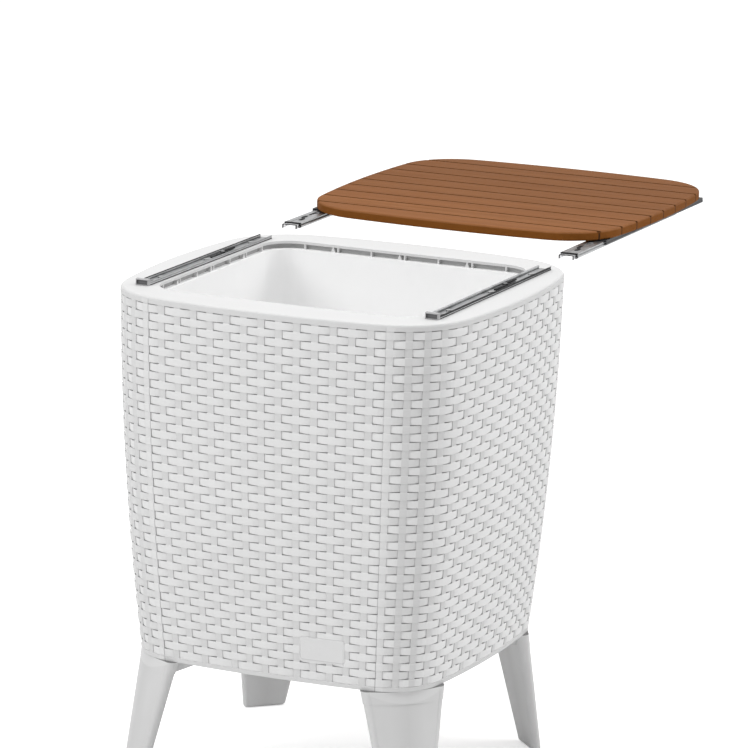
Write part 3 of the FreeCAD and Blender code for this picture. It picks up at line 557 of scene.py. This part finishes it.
def shaded_races(shader, tone):
    """Painted shade along the outer ball race, more to the back, and a painted shadow line at the rail's
    foot.
    """
    x, y, z = shader.axes()
    out = shader.math("GREATER_THAN", shader.size(x), RAIL_X + RACE_REACH)
    back_shade = shader.product(out, shader.spread(y, TUB_Y, TUB_Y + RAIL_BACK, 0.0, RAIL_BACK_SHADE))
    tone = shader.mix(back_shade, tone, RAIL_SHADE_COLOUR)
    low, high = OUTER_RACE
    race = shader.product(out, shader.within(z, RIM_TOP + low, RIM_TOP + high))
    inward = shader.math("LESS_THAN", shader.size(x), RAIL_X - RACE_REACH)
    beside = shader.math("ADD", out, inward)
    foot = shader.product(beside, shader.math("LESS_THAN", z, RIM_TOP + RAIL_FOOT))
    return shader.mix(shader.math("ADD", race, foot), tone, RAIL_SHADE_COLOUR)


def middle_rail_shade(shader, tone):
    """Painted shade on the front end, along the web's left side and in the right-hand upper race."""
    tone = cut_end(MIDDLE_FRONT)(shader, tone)
    x, z = shader.axes()[::2]
    across = shader.math("SUBTRACT", x, shader.product(shader.math("SIGN", x), RAIL_X))
    web = shader.product(shader.within(across, *WEB_LINE),
                         shader.math("GREATER_THAN", z, RIM_TOP + WEB_TOP))
    low, high = UPPER_RACE
    race = shader.product(shader.math("GREATER_THAN", across, UPPER_RACE_X),
                          shader.within(z, RIM_TOP + low, RIM_TOP + high))
    strength = shader.spread(x, -RAIL_X / 2, RAIL_X / 2, LEFT_RAIL_SHADE, RIGHT_RAIL_SHADE)
    return shader.mix(shader.product(shader.math("ADD", web, race), strength), tone, RAIL_SHADE_COLOUR)


def zinc_steel(name, bright, dull, low_rough, high_rough, extra=None):
    """Rolled, zinc-plated sheet: drawn along Y, with faint spangle and dull patches."""
    shader = Shader(name)
    drawn = shader.noise(1.0, detail=4.0, roughness=0.6,
                         vector=shader.stretched((900.0, 12.0, 900.0)))
    patch = shader.noise(scale=60.0, detail=4.0)
    share = shader.mix(0.35, shader.spread(drawn, 0.3, 0.7), shader.spread(patch, 0.35, 0.65))
    tone = shader.mix(share, dull, bright)
    if extra:
        tone = extra(shader, tone)
    shader.set(Base_Color=tone,
               Metallic=1.0,
               Roughness=shader.spread(patch, 0.3, 0.7, low_rough, high_rough),
               Normal=shader.bump(drawn, strength=0.15, distance=0.0002))
    return shader.material


# Small mouldings and foam
def stop_pocket(shader, tone):
    """Painted shade on the floor of the pocket in an end stop's front."""
    x, z = shader.axes()[::2]
    reach, low, high = STOP_POCKET
    across = shader.size(shader.math("SUBTRACT", shader.size(x), RAIL_X))
    inside = shader.product(shader.math("LESS_THAN", across, reach),
                            shader.within(z, RIM_TOP + low, RIM_TOP + high))
    return shader.mix(inside, tone, POCKET_SHADE_COLOUR)


def moulded(name, dark, light, low_rough, high_rough, extra=None):
    """Small plastic or rubber pieces: a grained skin, rubbed lighter in places."""
    shader = Shader(name)
    cloud = shader.noise(scale=120.0, detail=4.0)
    fine = shader.noise(scale=2200.0, detail=2.0)
    tone = shader.mix(shader.spread(cloud, 0.4, 0.7), dark, light)
    if extra:
        tone = extra(shader, tone)
    shader.set(Base_Color=tone,
               Roughness=shader.spread(cloud, 0.3, 0.7, low_rough, high_rough),
               Specular_IOR_Level=DULL_SPECULAR,
               Normal=shader.bump(fine, strength=0.2, distance=0.0003))
    return shader.material


def foam():
    """Pressed foam beads."""
    shader = Shader("foam")
    beads = shader.add("ShaderNodeTexVoronoi")
    shader.feed(beads.inputs["Vector"], shader.place)
    shader.feed(beads.inputs["Scale"], 320.0)
    from_middle = beads.outputs["Distance"]
    edge = shader.spread(from_middle, 0.0, 0.9)
    shader.set(Base_Color=shader.mix(edge, BEAD_COLOUR, BEAD_EDGE_COLOUR),
               Roughness=0.85,
               Normal=shader.bump(from_middle, strength=0.5, distance=0.001))
    return shader.material


def make_materials():
    # painted shade and light laid over each look's own colour
    painted_shading = {
        "rim_plastic": rim_shade,
        "woven_plastic": weave_shade,
        "leg_plastic": leg_shade,
        "fixed_rail_steel": shaded_races,
        "middle_rail_steel": middle_rail_shade,
        "cage_steel": cut_end(CAGE_FRONT),
        "grey_plastic": stop_pocket,
    }
    materials = {"wood_look_plastic": wood_look_plastic(), "foam": foam()}
    for make, kinds in ((white_plastic, WHITE_TONES), (zinc_steel, STEELS), (moulded, MOULDINGS)):
        for name, settings in kinds.items():
            materials[name] = make(name, *settings, painted_shading.get(name))
    return materials


# Tub outline
def depth_share(z):
    """How far down the tub a height lies, 0 at the rim and 1 at the base."""
    return (RIM_TOP - z) / TUB_HEIGHT


def outline(z):
    """Points round the tub at a height, from the front's middle towards +X, and their run lengths."""
    share = depth_share(z)
    taper = share * (4 * WAIST_TAPER - BASE_TAPER) + share ** 2 * (2 * BASE_TAPER - 4 * WAIST_TAPER)
    half = RIM_HALF - taper
    side_radius = RIM_SIDE_RADIUS + share * (BASE_SIDE_RADIUS - RIM_SIDE_RADIUS)
    corner_radius = RIM_CORNER_RADIUS + share * (BASE_CORNER_RADIUS - RIM_CORNER_RADIUS)
    side_centre = half - side_radius
    reach = side_radius - corner_radius
    corner = (side_centre + math.sqrt(2 * reach ** 2 - side_centre ** 2)) / 2
    join = math.atan2(corner, corner - side_centre)
    x = []
    y = []
    for turn in range(5):
        facing = turn * math.pi / 2 - math.pi / 2
        first = 0.0 if turn == 0 else -join
        last = 0.0 if turn == 4 else join
        for angle in np.linspace(first, last, SIDE_POINTS):
            along = side_centre + side_radius * math.cos(angle)
            across = side_radius * math.sin(angle)
            x.append(along * math.cos(facing) - across * math.sin(facing))
            y.append(along * math.sin(facing) + across * math.cos(facing))
        if turn == 4:
            break
        for angle in np.linspace(join, math.pi / 2 - join, CORNER_POINTS)[1:-1]:
            along = corner + corner_radius * math.cos(angle)
            across = corner + corner_radius * math.sin(angle)
            x.append(along * math.cos(facing) - across * math.sin(facing))
            y.append(along * math.sin(facing) + across * math.cos(facing))
    x = np.array(x)
    y = np.array(y)
    run = np.concatenate(([0.0], np.cumsum(np.hypot(np.diff(x), np.diff(y)))))
    return x, y, run


def seam_runs(z, x, run):
    """Run lengths of the four seams: front right, back right, back left, front left."""
    share = depth_share(z)
    seam = SEAM_TOP_X - share * SEAM_LEAN + 4 * SEAM_BOW * share * (1 - share)
    front = run <= run[-1] / 4
    right = np.interp(seam + SEAM_SHIFT, x[front], run[front])
    left = np.interp(seam - SEAM_SHIFT, x[front], run[front])
    back = np.interp(seam, x[front], run[front])
    half = run[-1] / 2
    return right, half - back, half + back, run[-1] - left


def seam_crevices(z, seams):
    """How dark a panel's two seams are painted at a height, as shade in the gap."""
    shade_growth = np.clip((depth_share(z) - SEAM_SHADE_GROWS) / (1 - SEAM_SHADE_GROWS), 0.0, 1.0)
    high = np.array([SEAM_CREVICES[seam] for seam in seams])
    low = np.array([SEAM_LOW_CREVICES[seam] for seam in seams])
    return high + shade_growth * (low - high)


# Relief of the weave
def strand_level(share):
    """Level of a strand from its end under a stake (0) to its middle over the next one (1)."""
    ease = np.sin(np.clip(share / RISE_SHARE, 0.0, 1.0) * math.pi / 2)
    return UNDER_LEVEL + (OVER_LEVEL - UNDER_LEVEL) * ease


def weave(stake_place, row, row_share):
    """Level, share of painted crevice shade and share of painted stake shade of the relief at one place.
    """
    near = math.floor(stake_place)
    part = stake_place - near
    first_shown = (near + row) % 2 == 1
    from_shown = part if first_shown else 1.0 - part
    between = STRAND_END - SLACK <= part <= 1.0 - STRAND_END + SLACK
    edge = min(row_share, 1.0 - row_share)
    on_stake = from_shown <= STAKE_EDGE + SLACK
    last_edge = row == ROWS - 1 and row_share > 0.5
    if between and edge < SLACK:
        if last_edge:
            return LAST_ROW_LEVEL, LAST_ROW_CREVICE, 0.0
        return GROOVE_LEVEL, TOP_ROW_CREVICE if row == 0 else 1.0, 0.0
    crevice = 0.0
    if on_stake:
        level = STAKE_LEVEL - STAKE_ROUND * (from_shown / STAKE_EDGE) ** 2
    else:
        level = strand_level((from_shown - STRAND_END) / (1.0 - STRAND_END))
        level -= STRAND_EDGE_DROP * (1.0 - min(edge / STRAND_ROUND, 1.0)) ** 2
        if from_shown < STRAND_END + SLACK:
            crevice = STRAND_END_CREVICE
        if not between and edge < SLACK:
            level = STAKE_LEVEL
    if between and edge < GROOVE_EDGE + SLACK:
        crevice = max(crevice, LAST_ROW_CREVICE if last_edge else STRAND_SIDE_CREVICE)
    return level, crevice, 1.0 if on_stake else 0.0


def in_plate(place, row_place):
    across = PLATE_FROM - SLACK <= place <= PLATE_TO + SLACK
    return across and PLATE_TOP_ROW - SLACK <= row_place <= PLATE_LAST_ROW + SLACK


def line_relief(row, row_share, columns, corner, front):
    """Levels, and shares of painted crevice shade and stake shade, along one level mesh line."""
    level = np.zeros(len(columns))
    crevice = np.zeros(len(columns))
    stake = np.zeros(len(columns))
    for column, place in enumerate(columns):
        if row is None:
            level[column] = BAND_LEVEL
            stake[column] = 1.0
        elif front and in_plate(place, row + row_share):
            rim = place < PLATE_FROM + PLATE_RIM or place > PLATE_TO - PLATE_RIM
            level[column] = PLATE_LEVEL - (PLATE_RIM_DROP if rim else 0.0)
            stake[column] = PLATE_TONE
        else:
            level[column], crevice[column], shown = weave(place, row, row_share)
            crossing = abs(place - round(place)) <= STAKE_EDGE + SLACK
            diving = (math.floor(place) + row) % 2 == 0
            # round the corners strands take the stakes' painted shade
            corner_shade = CROSSING_SHADE if crossing else DIVING_SHADE if diving else 0.0
            stake[column] = max(shown, corner_shade * corner[column])
    return level, crevice, stake


# Panels
def upright_lines(first, count):
    """Places of the upright mesh lines, in stake spacings."""
    lines = set()
    for stake in range(math.floor(first), math.ceil(first + count) + 1):
        for offset in STAKE_LINES:
            lines.add(round(stake + offset, 6))
            lines.add(round(stake - offset, 6))
    low = first + SEAM_SHADE
    high = first + count - SEAM_SHADE
    inside = [line for line in sorted(lines) if low + LINE_ROOM < line < high - LINE_ROOM]
    return [first, low] + inside + [high, first + count]


def level_lines():
    """Level mesh lines from the top as (row, share of the row, height); the bands have no row."""
    lines = [(None, 0.0, PANEL_TOP), (None, 0.5, PANEL_TOP - TOP_BAND + BAND_STEP)]
    height = (PANEL_TOP - PANEL_BOTTOM - TOP_BAND - BOTTOM_BAND) / ROWS
    shares = list(STRAND_LINES) + [0.5] + [1.0 - s for s in reversed(STRAND_LINES[1:])]
    for row in range(ROWS):
        top = PANEL_TOP - TOP_BAND - row * height
        lines += [(row, share, top - share * height) for share in shares]
    low = PANEL_BOTTOM + BOTTOM_BAND
    lines += [(ROWS - 1, 1.0, low), (None, 0.5, low - BAND_STEP), (None, 1.0, PANEL_BOTTOM)]
    return lines


def stray(shares, count, drift):
    """How far the mesh lines are moved along the panel, most in the middle of the drift's stretch."""
    amount, low, high = drift
    inside = np.clip((shares - low) / (high - low), 0.0, 1.0)
    return amount / count * np.sin(math.pi * inside) ** 2


def line_places(z, seams, shares, moved):
    """X and Y of the points on one level mesh line, and of the ways outwards there."""
    x, y, run = outline(z)
    ends = seam_runs(z, x, run)
    start = ends[seams[0]]
    stop = ends[seams[1]]
    if start > stop:
        start -= run[-1]
    first_gap = SEAM_HALF_GAPS[seams[0]]
    last_gap = SEAM_HALF_GAPS[seams[1]]
    growth = 1 + DRIFT_GROWTH * (depth_share(z) - 0.5)
    place = start + first_gap + (shares + growth * moved) * (stop - start - first_gap - last_gap)
    place = np.mod(place, run[-1])
    ahead = np.mod(place + RUN_STEP, run[-1])
    behind = np.mod(place - RUN_STEP, run[-1])
    step_x = np.interp(ahead, run, x) - np.interp(behind, run, x)
    step_y = np.interp(ahead, run, y) - np.interp(behind, run, y)
    length = np.hypot(step_x, step_y)
    return np.interp(place, run, x), np.interp(place, run, y), step_y / length, -step_x / length


def shell_faces(width, rows, inner_rows):
    """Faces of a closed shell: the outer grid, the inner skin with fewer rows, and the four edges."""
    base = rows * width
    faces = []
    for r in range(rows - 1):
        for c in range(width - 1):
            a = r * width + c
            faces.append((a, a + width, a + width + 1, a + 1))
    for i in range(len(inner_rows) - 1):
        for c in range(width - 1):
            a = base + i * width + c
            faces.append((a, a + 1, a + width + 1, a + width))
    last = base + (len(inner_rows) - 1) * width
    for c in range(width - 1):
        faces.append((c, c + 1, base + c + 1, base + c))
        a = (rows - 1) * width + c
        faces.append((a, last + c, last + c + 1, a + 1))
    for i in range(len(inner_rows) - 1):
        strip = range(inner_rows[i], inner_rows[i + 1] + 1)
        left = [r * width for r in strip]
        faces.append(tuple([base + i * width, base + (i + 1) * width] + left[::-1]))
        right = [r * width + width - 1 for r in strip]
        edge = base + width - 1
        faces.append(tuple(right + [edge + (i + 1) * width, edge + i * width]))
    return faces


def make_panel(name, seams, first, count, front, drift):
    """Closed shell of one panel: the relief outside, a plain skin inside."""
    columns = upright_lines(first, count)
    levels = level_lines()
    rows = len(levels)
    width = len(columns)
    shares = (np.array(columns) - first) / count
    moved = stray(shares, count, drift)
    beside_seam = np.minimum(shares, 1 - shares) * count < SEAM_REACH
    outside = np.zeros((rows, width, 3))
    inside = np.zeros((rows, width, 3))
    crevice = np.zeros((rows, width))
    stake = np.zeros((rows, width))
    for index, (row, row_share, z) in enumerate(levels):
        x, y, out_x, out_y = line_places(z, seams, shares, moved)
        turned = np.abs(out_x)
        corner = (np.clip((turned - CORNER_FROM) / CORNER_FADE, 0.0, 1.0)
                  * np.clip((CORNER_TO - turned) / CORNER_FADE, 0.0, 1.0))
        level, crevice[index], stake[index] = line_relief(row, row_share, columns, corner, front)
        # the painted shade on the stakes grows as the panel turns towards the sides
        stake[index] *= FRONT_STAKE_SHARE + (1 - FRONT_STAKE_SHARE) * turned
        if not front:
            stake[index, beside_seam] *= SEAM_STAKE_SHARE
        # painted shade along the seams
        crevice[index, [0, -1]] = np.maximum(crevice[index, [0, -1]], seam_crevices(z, seams))
        height = np.full(width, z)
        outside[index] = np.column_stack((x + out_x * level, y + out_y * level + TUB_Y, height))
        inside[index] = np.column_stack((x - out_x * PANEL_WALL, y - out_y * PANEL_WALL + TUB_Y, height))
    inner_rows = list(range(0, rows, INNER_STEP)) + [rows - 1]
    points = np.concatenate((outside.reshape(-1, 3), inside[inner_rows].reshape(-1, 3)))
    mesh = bpy.data.meshes.new(name)
    mesh.from_pydata([tuple(point) for point in points], [], shell_faces(width, rows, inner_rows))
    spare = np.zeros(len(inner_rows) * width)
    for label, values in (("crevice", crevice), ("stake", stake)):
        layer = mesh.attributes.new(label, "FLOAT", "POINT")
        layer.data.foreach_set("value", np.concatenate((values.ravel(), spare)).astype(np.float32))
    mesh.update()
    panel = bpy.data.objects.new(name, mesh)
    bpy.context.collection.objects.link(panel)
    return panel


def make_panels(materials):
    amount, start, last = SIDE_DRIFT
    left_drift = (-amount, 1 - last, 1 - start)
    kinds = {
        "front": ((FRONT_LEFT, FRONT_RIGHT), FRONT_FIRST_STAKE, FRONT_SPACINGS, True, FRONT_DRIFT),
        "right": ((FRONT_RIGHT, BACK_RIGHT), SIDE_FIRST_STAKE, SIDE_SPACINGS, False, SIDE_DRIFT),
        "back": ((BACK_RIGHT, BACK_LEFT), FRONT_FIRST_STAKE, FRONT_SPACINGS, False, FRONT_DRIFT),
        "left": ((BACK_LEFT, FRONT_LEFT), SIDE_FIRST_STAKE, SIDE_SPACINGS, False, left_drift),
    }
    for side, settings in kinds.items():
        panel = make_panel("woven_" + side, *settings)
        panel.data.materials.append(materials["woven_plastic"])
        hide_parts(side + "_panel")
        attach(panel, "tub")


# CAD pieces that stay
def dress_frame(materials):
    slots = {part["node"]: part["material_slot"] for part in frame["record"]["subparts"]}
    for name, node in frame["nodes"].items():
        node.data.materials.clear()
        node.data.materials.append(materials[PIECE_LOOKS.get(name, slots[name])])


# Surroundings
def seen_directly(nodes, links):
    """1 for rays that show the background: to the camera, in gloss and through glass."""
    path = nodes.new("ShaderNodeLightPath")
    share = path.outputs["Is Camera Ray"]
    for kind in ("Is Glossy Ray", "Is Transmission Ray"):
        larger = nodes.new("ShaderNodeMath")
        larger.operation = "MAXIMUM"
        links.new(share, larger.inputs[0])
        links.new(path.outputs[kind], larger.inputs[1])
        share = larger.outputs["Value"]
    return share


def floor_material():
    """Pale and lit where it is seen, a little darker where it only throws light back."""
    material = bpy.data.materials.new("floor")
    material.use_nodes = True
    nodes = material.node_tree.nodes
    links = material.node_tree.links
    nodes.clear()
    seen = seen_directly(nodes, links)
    colour = nodes.new("ShaderNodeMix")
    colour.data_type = "RGBA"
    colour.inputs["A"].default_value = (*FLOOR_BOUNCE, 1.0)
    colour.inputs["B"].default_value = (*FLOOR_COLOUR, 1.0)
    links.new(seen, colour.inputs["Factor"])
    matt = nodes.new("ShaderNodeBsdfDiffuse")
    links.new(colour.outputs["Result"], matt.inputs["Color"])
    level = nodes.new("ShaderNodeMath")
    level.operation = "MULTIPLY"
    level.inputs[1].default_value = FLOOR_LIFT
    links.new(seen, level.inputs[0])
    lift = nodes.new("ShaderNodeEmission")
    links.new(level.outputs["Value"], lift.inputs["Strength"])
    both = nodes.new("ShaderNodeAddShader")
    links.new(matt.outputs["BSDF"], both.inputs[0])
    links.new(lift.outputs["Emission"], both.inputs[1])
    out = nodes.new("ShaderNodeOutputMaterial")
    links.new(both.outputs["Shader"], out.inputs["Surface"])
    return material


def make_floor():
    """Level floor that shows the object's shadow."""
    mesh = bpy.data.meshes.new("floor")
    corners = [(-FLOOR_REACH, -FLOOR_REACH, 0), (FLOOR_REACH, -FLOOR_REACH, 0),
               (FLOOR_REACH, FLOOR_REACH, 0), (-FLOOR_REACH, FLOOR_REACH, 0)]
    mesh.from_pydata(corners, [], [(0, 1, 2, 3)])
    mesh.materials.append(floor_material())
    floor = bpy.data.objects.new("floor", mesh)
    bpy.context.collection.objects.link(floor)


def make_world():
    """White to the camera; as a light, brighter overhead than at the horizon."""
    world = bpy.data.worlds.new("world")
    world.use_nodes = True
    nodes = world.node_tree.nodes
    links = world.node_tree.links
    place = nodes.new("ShaderNodeTexCoord")
    split = nodes.new("ShaderNodeSeparateXYZ")
    links.new(place.outputs["Generated"], split.inputs["Vector"])
    sky = nodes.new("ShaderNodeMapRange")
    sky.inputs["To Min"].default_value = WORLD_HORIZON
    sky.inputs["To Max"].default_value = WORLD_ZENITH
    links.new(split.outputs["Z"], sky.inputs["Value"])
    shown = nodes.new("ShaderNodeMix")
    shown.inputs["B"].default_value = 1.0
    links.new(seen_directly(nodes, links), shown.inputs["Factor"])
    links.new(sky.outputs["Result"], shown.inputs["A"])
    background = nodes["Background"]
    links.new(shown.outputs["Result"], background.inputs["Strength"])
    background.inputs["Color"].default_value = (1.0, 1.0, 1.0, 1.0)
    bpy.context.scene.world = world


def make_lamp(name, place, width, power):
    data = bpy.data.lights.new(name, "AREA")
    data.shape = "DISK"
    data.size = width
    data.energy = power
    lamp = bpy.data.objects.new(name, data)
    aim = Vector(LAMP_TARGET) - Vector(place)
    lamp.rotation_euler = aim.to_track_quat("-Z", "Y").to_euler()
    lamp.location = place
    bpy.context.collection.objects.link(lamp)


make_camera()
looks = make_materials()
dress_frame(looks)
make_panels(looks)
make_floor()
make_world()
for lamp_name, lamp_settings in LAMPS.items():
    make_lamp(lamp_name, *lamp_settings)
bpy.context.scene.view_settings.view_transform = "Standard"
